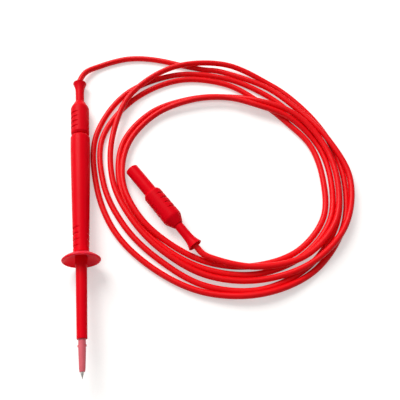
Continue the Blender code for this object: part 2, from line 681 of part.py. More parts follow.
def coil_points():
    """The coil's centre line, worked out turn by turn from its radii and lifts."""
    points = []
    for first_place, radii, lifts in COIL_TURNS:
        for i, (radius, lift) in enumerate(zip(radii, lifts)):
            angle = math.pi - 2 * math.pi * (first_place + i) / PLACES_PER_TURN
            points.append((COIL_CENTRE[0] + radius * math.cos(angle),
                           COIL_CENTRE[1] + radius * math.sin(angle), CABLE_R + lift))
    return points


def along_axis(frame, z):
    """The point at height z on an axis given by its world matrix."""
    return tuple(frame @ Vector((0, 0, z)))


def make_cable(rear_frame, free_frame, parent):
    """The jacket from clamp to clamp. It leaves each bell along the plug's axis."""
    bell = -PLUG_BODY_LENGTH
    start = [along_axis(rear_frame, jacket_end), along_axis(rear_frame, bell)]
    end = [along_axis(free_frame, bell), along_axis(free_frame, jacket_end)]
    points = start + list(LEAD_IN) + coil_points() + end
    tube("lead_cable", points, CABLE_R, parent, SILICONE)


def main():
    """Stand the axes in the world and build every piece on its own axis."""
    probe_axis = add_axis("probe_axis", None, (0, rear_y, rear_height),
                          (math.pi / 2 - tilt, 0, 0))
    make_handle(probe_axis)
    make_socket(probe_axis)
    make_current_path(probe_axis)
    make_guard(probe_axis)
    make_barrel(probe_axis)
    make_spring(probe_axis)
    make_sleeve(probe_axis)
    step = Vector((0, math.cos(tilt), -math.sin(tilt))) * FLANGE_GAP
    rear_axis = add_axis("rear_plug_axis", None, Vector((0, rear_y, rear_height)) + step,
                         (math.pi / 2 - tilt, 0, 0))
    make_plug("rear_plug", rear_axis, GROOVE_ROLL)
    pointing = Vector((math.cos(FREE_HEADING), math.sin(FREE_HEADING), 0))
    flange = Vector((*FREE_BELL, GRIP_REAR_R)) + pointing * PLUG_BODY_LENGTH
    free_axis = add_axis("free_plug_axis", None, flange,
                         (math.pi / 2, 0, FREE_HEADING + math.pi / 2))
    make_plug("free_plug", free_axis, 0.0)
    frames = [Matrix.LocRotScale(axis.location, axis.rotation_euler, None)
              for axis in (rear_axis, free_axis)]
    make_cable(*frames, None)


main()
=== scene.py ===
# %% [markdown]
# A red test probe and its coiled lead
#
# This lesson dresses a hand-held test probe, the kind that plugs into a multimeter. The solid model is
# already built, so every piece here is laid over a solid that is in the right place. We load that model
# first, as a fixed frame, and each new piece prints how far it lies from the box of the solid it covers.

# %% Load the frame
import json
import math

import bmesh
import bpy
import numpy as np
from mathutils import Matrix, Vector


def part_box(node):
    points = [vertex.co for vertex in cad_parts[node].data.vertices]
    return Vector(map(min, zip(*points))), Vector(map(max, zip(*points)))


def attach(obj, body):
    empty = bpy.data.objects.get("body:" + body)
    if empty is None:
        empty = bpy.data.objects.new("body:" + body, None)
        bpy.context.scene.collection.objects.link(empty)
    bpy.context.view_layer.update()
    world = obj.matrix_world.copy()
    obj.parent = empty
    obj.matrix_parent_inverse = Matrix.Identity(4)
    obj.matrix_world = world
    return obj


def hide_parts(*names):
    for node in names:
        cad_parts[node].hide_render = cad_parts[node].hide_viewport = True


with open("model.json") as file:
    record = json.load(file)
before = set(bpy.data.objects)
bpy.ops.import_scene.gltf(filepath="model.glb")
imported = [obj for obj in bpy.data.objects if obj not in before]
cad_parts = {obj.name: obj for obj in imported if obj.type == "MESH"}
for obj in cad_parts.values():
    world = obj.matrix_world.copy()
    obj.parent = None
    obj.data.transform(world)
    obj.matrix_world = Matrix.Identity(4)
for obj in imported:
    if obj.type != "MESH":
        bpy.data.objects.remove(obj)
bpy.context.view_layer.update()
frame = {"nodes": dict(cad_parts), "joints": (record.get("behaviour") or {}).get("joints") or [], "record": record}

MM = 0.001

# %% [markdown]
# Colours are chosen on a screen, so they are written as sRGB hex values. Blender's shaders work with
# light itself, which is linear, so one function turns the first into the second. A second small function
# adds a node with its settings and links, which keeps each material short enough to read at a glance.

# %% Two helpers for materials
def linear(hex_colour):
    """sRGB to linear light: c / 12.92 up to 0.04045, and ((c + 0.055) / 1.055) ** 2.4 above it."""
    coded = np.array([int(hex_colour[i:i + 2], 16) for i in (1, 3, 5)]) / 255
    light = np.where(coded <= 0.04045, coded / 12.92, ((coded + 0.055) / 1.055) ** 2.4)
    return (*light.tolist(), 1.0)


def add_node(tree, kind, values=None, links=None, **settings):
    """Add a node, then its settings, its input values, and its links as {input: (node, output)}."""
    node = tree.nodes.new(kind)
    for name, value in settings.items():
        setattr(node, name, value)
    for socket, value in (values or {}).items():
        node.inputs[socket].default_value = value
    for socket, (source, output) in (links or {}).items():
        tree.links.new(source.outputs[output], node.inputs[socket])
    return node


def new_material(name):
    """A material with an empty node tree and its output node."""
    material = bpy.data.materials.new(name)
    material.use_nodes = True
    tree = material.node_tree
    tree.nodes.clear()
    return material, tree, add_node(tree, "ShaderNodeOutputMaterial")


print("the middle grey #808080 in linear light:", round(linear("#808080")[0], 3))

# %% [markdown]
# The photograph was taken from above the needle's end, looking down at about 65 degrees. The camera
# stands where the object's outline has the same perspective: a 45 mm lens, about 0.3 m away.

# %% Camera
CAMERA_PLACE = Vector((0.054516, -0.103043, 0.273705))
CAMERA_TARGET = Vector((0.069628, 0.023690, 0.0))
LENS = 45                     # mm
SENSOR_WIDTH = 36             # mm

camera_data = bpy.data.cameras.new("camera")
camera_data.lens = LENS
camera_data.sensor_width = SENSOR_WIDTH
camera = bpy.data.objects.new("camera", camera_data)
camera.location = CAMERA_PLACE
camera.rotation_euler = (CAMERA_TARGET - CAMERA_PLACE).to_track_quat("-Z", "Y").to_euler()
bpy.context.scene.collection.objects.link(camera)
bpy.context.scene.camera = camera
bpy.context.scene.view_settings.view_transform = "Standard"
print("camera distance:", round((CAMERA_TARGET - CAMERA_PLACE).length, 4))

# %% [markdown]
# The set is a sheet of white card. Card reflects about four fifths of the light, which renders as a pale
# grey. We could turn the lamps up until it is white, but the red plastic would burn out with it. Instead
# the card glows a little where it is seen, straight on, in a reflection or through the sleeve. It reads
# as white, still keeps its shadows, and the glow puts no extra light on the plastic's soft shading.

# %% Floor
FLOOR_HALF = 3.0
CARD_GLOW = 0.43

floor_mesh = bpy.data.meshes.new("floor")
corners = [(x * FLOOR_HALF, y * FLOOR_HALF, 0.0) for x, y in ((-1, -1), (1, -1), (1, 1), (-1, 1))]
floor_mesh.from_pydata(corners, [], [(0, 1, 2, 3)])
floor = bpy.data.objects.new("floor", floor_mesh)
bpy.context.scene.collection.objects.link(floor)

card, tree, output = new_material("matt white card")
paper = add_node(tree, "ShaderNodeBsdfDiffuse", {"Color": linear("#e7e4e1")})
path_kind = add_node(tree, "ShaderNodeLightPath")
straight = add_node(tree, "ShaderNodeMath", {}, {0: (path_kind, "Is Camera Ray"),
                                                 1: (path_kind, "Is Glossy Ray")},
                    operation="MAXIMUM")
seen = add_node(tree, "ShaderNodeMath", {}, {0: (straight, 0), 1: (path_kind, "Is Transmission Ray")},
                operation="MAXIMUM")
level = add_node(tree, "ShaderNodeMath", {1: CARD_GLOW}, {0: (seen, 0)}, operation="MULTIPLY")
glow = add_node(tree, "ShaderNodeEmission", {"Color": (1, 1, 1, 1)}, {"Strength": (level, 0)})
card_look = add_node(tree, "ShaderNodeAddShader", {}, {0: (paper, 0), 1: (glow, 0)})
tree.links.new(card_look.outputs[0], output.inputs["Surface"])
floor_mesh.materials.append(card)
print("floor:", card.name, "with a glow of", CARD_GLOW)

# %% [markdown]
# In the photograph the handle's shadow falls to its right, and the slanted free plug's falls to its lower
# left. Only a light from behind the object, a little to the left, does both. It also explains the guard,
# whose inside glows although it faces away. So one big softbox stands there. The rest comes from a room
# that is bright on that side and dim opposite, which is the world here.

# %% Light
def add_softbox(name, place, target, size, power):
    """A rectangular lamp at place that faces target."""
    data = bpy.data.lights.new(name, "AREA")
    data.shape = "RECTANGLE"
    data.size, data.size_y = size
    data.energy = power
    lamp = bpy.data.objects.new(name, data)
    lamp.location = place
    lamp.rotation_euler = (Vector(target) - Vector(place)).to_track_quat("-Z", "Y").to_euler()
    bpy.context.scene.collection.objects.link(lamp)
    return lamp


SOFTBOX_PLACE = (-0.46, 1.17, 1.24)
SOFTBOX_TARGET = (0.06, 0.03, 0.0)    # near the middle of the picture
SOFTBOX_SIZE = (1.00, 1.00)
SOFTBOX_POWER = 25.0                  # watts

add_softbox("softbox_behind", SOFTBOX_PLACE, SOFTBOX_TARGET, SOFTBOX_SIZE, SOFTBOX_POWER)

ROOM_BRIGHT = 0.58
ROOM_DIM = 0.12
BRIGHT_SIDE = (-0.50, 0.80, 0.33)     # direction of the room's bright side

world = bpy.data.worlds.new("white room")
bpy.context.scene.world = world
world.use_nodes = True
tree = world.node_tree
tree.nodes.clear()
path_kind = add_node(tree, "ShaderNodeLightPath")
direction = add_node(tree, "ShaderNodeTexCoord")
toward = add_node(tree, "ShaderNodeVectorMath", {1: BRIGHT_SIDE}, {0: (direction, "Generated")},
                  operation="DOT_PRODUCT")
fall = add_node(tree, "ShaderNodeMapRange",
                {"From Min": -1.0, "From Max": 1.0, "To Min": ROOM_DIM, "To Max": ROOM_BRIGHT},
                {"Value": (toward, "Value")})
room = add_node(tree, "ShaderNodeBackground", {"Color": (1, 1, 1, 1)}, {"Strength": (fall, "Result")})
backdrop = add_node(tree, "ShaderNodeBackground", {"Color": (1, 1, 1, 1), "Strength": 1.0})
sky = add_node(tree, "ShaderNodeMixShader", {}, {0: (path_kind, "Is Camera Ray"), 1: (room, 0),
                                                 2: (backdrop, 0)})
add_node(tree, "ShaderNodeOutputWorld", {}, {"Surface": (sky, 0)})
print("room from", ROOM_DIM, "to", ROOM_BRIGHT, "and one softbox of", SOFTBOX_POWER, "watts")

# %% [markdown]
# Almost every piece is turned about an axis. The probe's axis is the way it slides off its plug, and the
# free plug's axis is its flange's outward direction. Each frame has an origin, an x, a y that points up
# and a z that points to the metal tip. Both directions and the free plug's place are read from the model.
# Only the middle of the handle's rear face is written here.

# %% Axes of the turned pieces
UP = np.array((0.0, 0.0, 1.0))
FLANGE_MOUNT_OFFSET = 4.7 * MM      # from the plug's axis to the flange mount's point
FLANGE_GAP = 1.2 * MM               # between the plug's flange and the handle

mounts = {mount["name"]: mount for mount in frame["record"]["mounts"]}
joints = {joint["name"]: joint for joint in frame["joints"]}


def unit(v):
    """A vector over its length, along the last axis of the array."""
    return v / np.linalg.norm(v, axis=-1, keepdims=True)


def axis_frame(origin, z):
    """Origin and three directions: x is level, y is z turned up, and z is given."""
    z = unit(np.array(z, float))
    x = unit(np.cross(UP, z))
    return np.array(origin, float), x, np.cross(z, x), z


SOCKET_FACE = (0.0, 0.0722306, 0.0068355)
probe = axis_frame(SOCKET_FACE, joints["plug_pull"]["axis"])
rear_plug = axis_frame(probe[0] - FLANGE_GAP * probe[3], probe[3])
plug_z = np.array(mounts["plug_flange"]["axis"], float)
free_plug = axis_frame(np.array(mounts["plug_flange"]["pos_m"]) + FLANGE_MOUNT_OFFSET
                       * np.array((plug_z[1], -plug_z[0], 0.0)), plug_z)
print("free plug's flange centre:", np.round(free_plug[0], 5))

# %% [markdown]
# A turned piece is a profile of (radius, height) points carried round the axis. Sharp corners catch no
# light, and moulded plastic has none, so each corner gets a small round. Three short functions do all of
# that on whole arrays: one rounds the corners, one adds points along long edges, one makes the mesh.

# %% Profiles and skins
HALF_AN_EDGE = 0.49           # just under half, so that the rounds of two corners never meet
SAME_POINT = 1e-7             # closer than this, two points of a profile are one
SAME_VERTEX = 2e-7
NO_EDGE = 1e-8
SHARP_ANGLE = math.radians(50)
STEP_TINY = 0.12 * MM         # between the points of a profile with small lugs on it
STEP_FINE = 0.3 * MM
STEP_PLAIN = 0.4 * MM
STEP_LONG = 0.5 * MM


def round_corners(points, rounds, steps=5):
    """Replace each corner of a closed profile by a parabola that starts and ends its round away from it.

    With t from 0 to 1 it is (1 - t)^2 A + 2 t (1 - t) P + t^2 B, where A and B lie on P's two edges."""
    corner = np.array(points, float)
    size = np.broadcast_to(np.array(rounds, float), len(corner))[:, None]
    before = np.roll(corner, 1, axis=0) - corner
    after = np.roll(corner, -1, axis=0) - corner
    reach_a = np.minimum(size / np.linalg.norm(before, axis=1, keepdims=True), HALF_AN_EDGE)
    reach_b = np.minimum(size / np.linalg.norm(after, axis=1, keepdims=True), HALF_AN_EDGE)
    t = np.linspace(0, 1, steps)[None, :, None]
    curve = ((1 - t) ** 2 * (corner + before * reach_a)[:, None]
             + 2 * t * (1 - t) * corner[:, None] + t ** 2 * (corner + after * reach_b)[:, None])
    return curve.reshape(-1, 2)


def along(points):
    """Distance from the first point to each point, along the line."""
    return np.concatenate(([0.0], np.cumsum(np.linalg.norm(np.diff(points, axis=0), axis=1))))


def fill_in(points, step):
    """Keep a line's own points and add more, so that no two lie further apart than step."""
    place = along(points)
    keep = np.concatenate(([True], np.diff(place) > SAME_POINT))
    points, place = points[keep], place[keep]
    wanted = np.union1d(place, np.arange(0.0, place[-1], step))
    return np.stack([np.interp(wanted, place, points[:, k]) for k in range(points.shape[1])], axis=1)


def add_skin(name, grid, body, *nodes):
    """A mesh from a grid of points (rows, columns, 3) that closes both ways, in place of CAD nodes.

    Face (i, j) joins point (i, j) to (i + 1, j), (i + 1, j + 1) and (i, j + 1), counted round."""
    rows, columns, _ = grid.shape
    index = np.arange(rows * columns).reshape(rows, columns)
    below = np.roll(index, -1, axis=0)
    faces = np.stack([index, below, np.roll(below, -1, axis=1), np.roll(index, -1, axis=1)], axis=-1)
    mesh = bpy.data.meshes.new(name)
    mesh.from_pydata(grid.reshape(-1, 3), [], faces.reshape(-1, 4))
    shape = bmesh.new()
    shape.from_mesh(mesh)
    bmesh.ops.remove_doubles(shape, verts=shape.verts, dist=SAME_VERTEX)
    bmesh.ops.dissolve_degenerate(shape, edges=shape.edges, dist=NO_EDGE)
    bmesh.ops.recalc_face_normals(shape, faces=shape.faces)
    shape.to_mesh(mesh)
    shape.free()
    mesh.shade_smooth()
    mesh.set_sharp_from_angle(angle=SHARP_ANGLE)
    skin = bpy.data.objects.new(name, mesh)
    bpy.context.scene.collection.objects.link(skin)
    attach(skin, body)
    for node in nodes:
        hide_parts(node)
        low, high = (np.array(corner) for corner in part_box(node))
        found = grid.reshape(-1, 3)
        off = max(np.abs(found.min(0) - low).max(), np.abs(found.max(0) - high).max())
        print(f"{name}: {len(mesh.polygons)} faces, {off / MM:.2f} mm from the box of {node}")
    return skin


def turn(profile, place, columns=96, cut=None):
    """Points of a profile turned about an axis: origin + r cos(a) x + r sin(a) y + h z.

    cut gives a new radius and height for the whole grid from (radius, height, angle)."""
    origin, x, y, z = place
    angle = np.linspace(0, 2 * math.pi, columns, endpoint=False)[None, :]
    radius = np.repeat(profile[:, :1], columns, axis=1)
    height = np.repeat(profile[:, 1:], columns, axis=1)
    if cut:
        radius, height = cut(radius, height, angle)
    return (origin + (radius * np.cos(angle))[..., None] * x + (radius * np.sin(angle))[..., None] * y
            + height[..., None] * z)


# %% [markdown]
# The lead is a soft silicone cable 3.6 mm thick and about 2.6 m long. It is laid on the table in six
# loose turns that cross each other now and then. The route is a list of given places: for each
# turn, how far out it lies at fifteen clock places, and how high it is lifted by the turns under it.
# A smooth curve through those places is far closer to real cable than straight runs and arcs.

# %% Route of the lead
CABLE_R = 1.8 * MM
PLUG_BODY_LENGTH = 42.0 * MM      # bell end to flange face
JACKET_END = -17.1 * MM           # where the jacket stops inside the plug
LEAD_STEP = 2.0 * MM              # between the rings of the cable
COIL_CENTRE = (0.0891, 0.0401)
PLACES_PER_TURN = 15
COIL_TURNS = (
    (4,
     (0.0760, 0.0678, 0.0636, 0.0660, 0.0735, 0.0765, 0.0750, 0.0710, 0.0680, 0.0653, 0.0660),
     (0.0003, 0.0018, 0.0027, 0.0041, 0.0038, 0.0039, 0.0041, 0.0018, 0.0017, 0.0029, 0.0033)),
    (0,
     (0.0705, 0.0760, 0.0835, 0.0850, 0.0805, 0.0725, 0.0680, 0.0680, 0.0710, 0.0760, 0.0790,
      0.0790, 0.0775, 0.0760, 0.0780),
     (0.0026, 0.0031, 0.0040, 0.0043, 0.0032, 0.0, 0.0, 0.0, 0.0, 0.0, 0.0, 0.0025, 0.0010,
      0.0, 0.0)),
    (0,
     (0.0810, 0.0875, 0.0885, 0.0815, 0.0713, 0.0635, 0.0600, 0.0638, 0.0670, 0.0718, 0.0750,
      0.0760, 0.0735, 0.0700, 0.0715),
     (0.0,) * 15),
    (0,
     (0.0765, 0.0830, 0.0815, 0.0765, 0.0665, 0.0562, 0.0527, 0.0555, 0.0580, 0.0635, 0.0645,
      0.0620, 0.0599, 0.0589, 0.0614),
     (0.0, 0.0, 0.0, 0.0, 0.0, 0.0, 0.0, 0.0, 0.0, 0.0, 0.0, 0.0, 0.0, 0.0009, 0.0031)),
    (0,
     (0.0646, 0.0652, 0.0618, 0.0563, 0.0530, 0.0505, 0.0548, 0.0598, 0.0628, 0.0676, 0.0684,
      0.0670, 0.0642, 0.0626, 0.0638),
     (0.0029, 0.0018, 0.0016, 0.0030, 0.0034, 0.0043, 0.0033, 0.0, 0.0, 0.0, 0.0, 0.0, 0.0,
      0.0, 0.0)),
    (0,
     (0.0670, 0.0692, 0.0658, 0.0595, 0.0560, 0.0544, 0.0585, 0.0619, 0.0656, 0.0704, 0.0698,
      0.0638, 0.0580),
     (0.0, 0.0, 0.0, 0.0, 0.0, 0.0039, 0.0045, 0.0036, 0.0038, 0.0036, 0.0039, 0.0039,
      0.0037)),
)
LEAD_IN = (
    (0.0008, 0.1204, 0.0043),
    (0.0048, 0.1266, 0.0034),
    (0.0141, 0.1315, 0.0018),
    (0.0275, 0.1348, 0.0018),
    (0.0377, 0.1351, 0.0018),
    (0.0479, 0.1333, 0.0018),
    (0.0580, 0.1300, 0.0018),
    (0.0701, 0.1249, 0.0018),
    (0.0829, 0.1202, 0.0018),
)


def coil_points(first_place, radii, lifts):
    """One turn: clock places run clockwise from the handle's side, centre + radius (cos a, sin a)."""
    angle = math.pi - 2 * math.pi * (first_place + np.arange(len(radii))) / PLACES_PER_TURN
    return np.stack([COIL_CENTRE[0] + np.array(radii) * np.cos(angle),
                     COIL_CENTRE[1] + np.array(radii) * np.sin(angle), CABLE_R + np.array(lifts)], axis=1)


def smooth_line(points, step, tension=0.5):
    """Catmull-Rom curve through the points, read at equal steps along it.

    Between points P1 and P2 it is a cubic whose end slopes are (P2 - P0) / 2 and (P3 - P1) / 2."""
    padded = np.concatenate(([2 * points[0] - points[1]], points, [2 * points[-1] - points[-2]]))
    start, end = padded[1:-2, None], padded[2:-1, None]
    slope_a = (tension * (padded[2:-1] - padded[:-3]))[:, None]
    slope_b = (tension * (padded[3:] - padded[1:-2]))[:, None]
    t = np.linspace(0, 1, 24, endpoint=False)[None, :, None]
    curve = ((2 * t ** 3 - 3 * t ** 2 + 1) * start + (t ** 3 - 2 * t ** 2 + t) * slope_a
             + (3 * t ** 2 - 2 * t ** 3) * end + (t ** 3 - t ** 2) * slope_b).reshape(-1, 3)
    curve = np.concatenate((curve, points[-1:]))
    place = along(curve)
    wanted = np.linspace(0, place[-1], int(place[-1] / step) + 1)
    return np.stack([np.interp(wanted, place, curve[:, k]) for k in range(3)], axis=1)


def on_axis(place, height):
    """The point at a height on a frame's axis."""
    return place[0] + height * place[3]


route = np.concatenate([[on_axis(rear_plug, JACKET_END), on_axis(rear_plug, -PLUG_BODY_LENGTH)],
                        LEAD_IN, *[coil_points(*turn_places) for turn_places in COIL_TURNS],
                        [on_axis(free_plug, -PLUG_BODY_LENGTH), on_axis(free_plug, JACKET_END)]])
lead_line = smooth_line(route, LEAD_STEP)
lead_line[:, 2] = np.maximum(lead_line[:, 2], CABLE_R)
lead_length = float(along(lead_line)[-1])
print("lead length:", round(lead_length, 4), "from", len(route), "places")

# %% [markdown]
# The cable itself is a circle carried along that line. It needs to know which way is up at every step.
# The cable never stands on end, so its side is always level: the direction across both the cable and the
# vertical. That gives every ring its frame at once, without turning from one ring to the next.

# %% The cable
def sweep_circle(line, radius, columns):
    """Rings of radius (side cos a + up sin a) round each point, with a point closing each end."""
    ahead = unit(np.gradient(line, axis=0))
    side = unit(np.cross(ahead, UP))
    up = np.cross(side, ahead)
    angle = np.linspace(0, 2 * math.pi, columns, endpoint=False)[None, :, None]
    rings = line[:, None] + radius * (np.cos(angle) * side[:, None] + np.sin(angle) * up[:, None])
    ends = [np.repeat(line[k][None, None], columns, axis=1) for k in (0, -1)]
    return np.concatenate([ends[0], rings, ends[1]])


cable = add_skin("silicone_cable", sweep_circle(lead_line, CABLE_R, 20), "lead", "lead_cable")

# %% [markdown]
# Two plastics make the red pieces. The handle, guard, barrel and shrouds are hard, injection moulded
# ABS with a satin skin. The plug grips and their bells are a softer elastomer, a little more matt. Both
# are one colour right through, so the detail is in the skin: a faint orange peel from the mould, and
# patches where the gloss differs. The true peel is finer than a pixel here, so it is drawn coarser.
# The guard is so thin that the light behind it comes through, so it has its own mix of the same ABS,
# in which far more of the light travels inside. The cable is extruded silicone rubber, a little glossier,
# which draws a brighter line of light along it.

# %% Red plastics and silicone
CLOUD_SIZE = 9 * MM
PLASTIC_SPREAD = (0.05, 0.07)         # how far the roughness strays below and above its value
PEEL_STRENGTH = 0.6
RED_TRAVEL = (1.0, 0.12, 0.08)        # inside red plastic, red light gets furthest


def moulded(name, colour, deeper, roughness, peel, peel_depth, bleed, shine=0.06, reach=0.6 * MM):
    """A moulded plastic: two close colours in soft clouds, gloss that varies, and a fine peel.

    bleed is the share of light that travels inside, and reach is how far it gets."""
    material, tree, output = new_material(name)
    place = add_node(tree, "ShaderNodeTexCoord")
    clouds = add_node(tree, "ShaderNodeTexNoise", {"Scale": 1 / CLOUD_SIZE, "Detail": 3.0},
                      {"Vector": (place, "Object")})
    tint = add_node(tree, "ShaderNodeMix", {"A": linear(colour), "B": linear(deeper)},
                    {"Factor": (clouds, "Fac")}, data_type="RGBA")
    gloss = add_node(tree, "ShaderNodeMapRange", {"To Min": roughness - PLASTIC_SPREAD[0],
                                                  "To Max": roughness + PLASTIC_SPREAD[1]},
                     {"Value": (clouds, "Fac")})
    grain = add_node(tree, "ShaderNodeTexNoise", {"Scale": 1 / peel, "Detail": 2.0},
                     {"Vector": (place, "Object")})
    bump = add_node(tree, "ShaderNodeBump", {"Distance": peel_depth, "Strength": PEEL_STRENGTH},
                    {"Height": (grain, "Fac")})
    skin = add_node(tree, "ShaderNodeBsdfPrincipled",
                    {"IOR": 1.5, "Specular IOR Level": shine, "Subsurface Weight": bleed,
                     "Subsurface Scale": reach, "Subsurface Radius": RED_TRAVEL},
                    {"Base Color": (tint, "Result"), "Roughness": (gloss, "Result"),
                     "Normal": (bump, "Normal")})
    tree.links.new(skin.outputs[0], output.inputs["Surface"])
    return material


def dress(piece, material):
    """Give a piece one material."""
    piece.data.materials.clear()
    piece.data.materials.append(material)


hard_red = moulded("satin moulded red abs", "#f4001a", "#e80014", 0.34, 0.35 * MM, 0.004 * MM, 0.03)
soft_red = moulded("matt moulded red elastomer", "#f0001a", "#e20014", 0.42, 0.25 * MM, 0.005 * MM, 0.05)
silicone = moulded("extruded red silicone rubber", "#fc0814", "#f00410", 0.33, 0.5 * MM, 0.004 * MM, 0.06,
                   0.18)
thin_red = moulded("thin translucent red abs", "#ff3048", "#f8283e", 0.36, 0.35 * MM, 0.004 * MM, 1.0,
                   0.10, 3.5 * MM)
dress(cable, silicone)
print("plastics:", [finish.name for finish in (hard_red, soft_red, silicone, thin_red)])

# %% [markdown]
# The handle is a long cone that eases down from 11.8 mm to 8.8 mm. Near the guard it has two rows of
# crescent grooves for the fingers. A mould maker cuts such a groove with a ring that stands off the
# handle's axis, so it is deep in the middle and runs out at both ends. The same sum works here: at an
# angle from the groove's middle, the ring's inner wall lies at a radius that we can write down.

# %% Grooves
GROOVE_WIDTH = 1.3 * MM
GROOVE_FLOOR = 0.45           # share of the width that is flat
GROOVE_DEPTH = 0.75 * MM
GROOVE_HALF_ANGLE = math.radians(64)
GROOVE_ROLL = math.radians(-30)
GROOVE_SOFTNESS = 0.10 * MM


def smaller(a, b, softness):
    """The smaller of two arrays with a rounded change: mix by h, less softness h (1 - h)."""
    h = np.clip(0.5 + 0.5 * (b - a) / softness, 0, 1)
    return b + (a - b) * h - softness * h * (1 - h)


def grooved(centres, radius_at, roll):
    """A cut for turn: two rows of crescent grooves round the body whose radius is radius_at(height)."""
    middle_r = radius_at(np.mean(centres))
    spread = middle_r * (1 - math.cos(GROOVE_HALF_ANGLE)) - GROOVE_DEPTH
    offset = GROOVE_DEPTH * (2 * middle_r - GROOVE_DEPTH) / (2 * spread)
    half = GROOVE_WIDTH / 2
    floor_half = half * GROOVE_FLOOR

    def cut(radius, height, angle):
        """Keep the radius under the ring's inner wall, -o cos f + sqrt(w^2 - o^2 sin^2 f)."""
        distance = np.abs(height[..., None] - np.array(centres)).min(axis=-1)
        rise = np.maximum(distance - floor_half, 0) * GROOVE_DEPTH / (half - floor_half)
        wall = radius_at(height) - GROOVE_DEPTH + offset + rise
        outside = radius > radius_at(height) - 2 * GROOVE_DEPTH
        for side in (0, math.pi):
            turned = angle - roll - side
            limit = -offset * np.cos(turned) + np.sqrt(wall ** 2 - (offset * np.sin(turned)) ** 2)
            radius = np.where(outside, smaller(radius, limit, GROOVE_SOFTNESS), radius)
        return radius, height

    return cut


print("grooves:", round(GROOVE_WIDTH / MM, 2), "mm wide and", round(GROOVE_DEPTH / MM, 2), "mm deep")

# %% [markdown]
# The handle's wall is a closed loop: down the outside, round the rear edge, and back up through the
# socket and the bore. The outside comes from a formula: straight for 8 mm, then a taper with a slight
# belly, which is what a power a little above 1 gives.

# %% The handle
HANDLE_LENGTH = 78.0 * MM
HANDLE_REAR_R = 5.9 * MM
HANDLE_FRONT_R = 4.4 * MM
HANDLE_STRAIGHT = 8.0 * MM
HANDLE_BELLY = 1.15
HANDLE_GROOVES = 4
HANDLE_GROOVE_PITCH = 3.67 * MM
HANDLE_GROOVE_END = 3.3 * MM
SOCKET_R = 4.25 * MM
SOCKET_DEPTH = 19.7 * MM
SEAT_R = 3.0 * MM
SEAT_DEPTH = 26.0 * MM
CORE_R = 2.6 * MM
CORE_DEPTH = 67.7 * MM
FRONT_BORE_R = 3.05 * MM
HANDLE_BORE_ROUND = 0.15 * MM
HANDLE_EDGE = 0.55 * MM               # round of the rear edge, across
HANDLE_EDGE_LENGTH = 1.5 * MM         # and along
HANDLE_SIDE = (1.8 * MM, HANDLE_LENGTH - 0.3 * MM)    # the side, between the rounds of its two edges


def handle_radius(s):
    """Straight at the rear, then rear - (rear - front) u^belly for u from 0 to 1."""
    u = np.clip((s - HANDLE_STRAIGHT) / (HANDLE_LENGTH - HANDLE_STRAIGHT), 0, 1)
    return HANDLE_REAR_R - (HANDLE_REAR_R - HANDLE_FRONT_R) * u ** HANDLE_BELLY


stations = np.linspace(HANDLE_SIDE[1], HANDLE_SIDE[0], 240)
outside = np.stack([handle_radius(stations), stations], axis=1)
edge_turn = np.linspace(0, math.pi / 2, 10)
rear_edge = np.stack([HANDLE_REAR_R - HANDLE_EDGE * (1 - np.cos(edge_turn)),
                      HANDLE_EDGE_LENGTH * (1 - np.sin(edge_turn))], axis=1)
bore = round_corners([(SOCKET_R, 0.0), (SOCKET_R, SOCKET_DEPTH), (SEAT_R, SOCKET_DEPTH),
                      (SEAT_R, SEAT_DEPTH), (CORE_R, SEAT_DEPTH), (CORE_R, CORE_DEPTH),
                      (FRONT_BORE_R, CORE_DEPTH), (FRONT_BORE_R, HANDLE_LENGTH),
                      (HANDLE_FRONT_R, HANDLE_LENGTH)], HANDLE_BORE_ROUND)
handle_profile = np.concatenate([outside, rear_edge, bore])
handle_grooves = [HANDLE_LENGTH - HANDLE_GROOVE_END - HANDLE_GROOVE_PITCH * k
                  for k in range(HANDLE_GROOVES)]
handle = add_skin("handle", turn(fill_in(handle_profile, STEP_PLAIN), probe, 128,
                                 grooved(handle_grooves, handle_radius, GROOVE_ROLL)),
                  "probe", "handle_shell")
dress(handle, hard_red)

# %% [markdown]
# The finger guard keeps the hand away from the live tip. It is a thin umbrella whose dome opens towards
# the needle, moulded in one wall thickness, with a hub that is clamped between handle and barrel. In the
# photograph the dome leaves the hub at a shallow slope and steepens evenly, so it is part of a sphere:
# the slope itself is the number that runs from 13 degrees at the hub to 44 at the rim.

# %% The finger guard
GUARD_START = 78.3 * MM
GUARD_R = 10.9 * MM
GUARD_DEPTH = 4.6 * MM
GUARD_WALL = 1.3 * MM
GUARD_HUB_R = 4.4 * MM
GUARD_LIP = 1.0 * MM
GUARD_HUB_SLOPE = math.radians(13)
GUARD_RIM_SLOPE = math.radians(44)
GUARD_RIM_ROUND = GUARD_WALL / 4      # how far the rounded rim stands out past the dome's end
GUARD_BORE_R = 3.45 * MM
GUARD_HUB_ROUND = 0.12 * MM

swing = np.linspace(GUARD_HUB_SLOPE, GUARD_RIM_SLOPE, 28)
dome_r = GUARD_R - GUARD_RIM_ROUND * math.cos(GUARD_RIM_SLOPE)
sphere_r = (dome_r - GUARD_HUB_R) / (math.sin(GUARD_RIM_SLOPE) - math.sin(GUARD_HUB_SLOPE))
rim_place = GUARD_START + GUARD_DEPTH - GUARD_WALL * math.cos(GUARD_RIM_SLOPE)
dome = np.stack([dome_r - sphere_r * (math.sin(GUARD_RIM_SLOPE) - np.sin(swing)),
                 rim_place - sphere_r * (np.cos(swing) - math.cos(GUARD_RIM_SLOPE))], axis=1)
slope = np.stack([np.cos(swing), np.sin(swing)], axis=1)
lining = dome + GUARD_WALL * np.stack([-slope[:, 1], slope[:, 0]], axis=1)
rim_turn = np.linspace(0, math.pi, 9)[1:-1, None]
rim_middle = (dome[-1] + lining[-1]) / 2
rim = (rim_middle + (dome[-1] - rim_middle) * np.cos(rim_turn)
       + GUARD_RIM_ROUND * slope[-1] * np.sin(rim_turn))
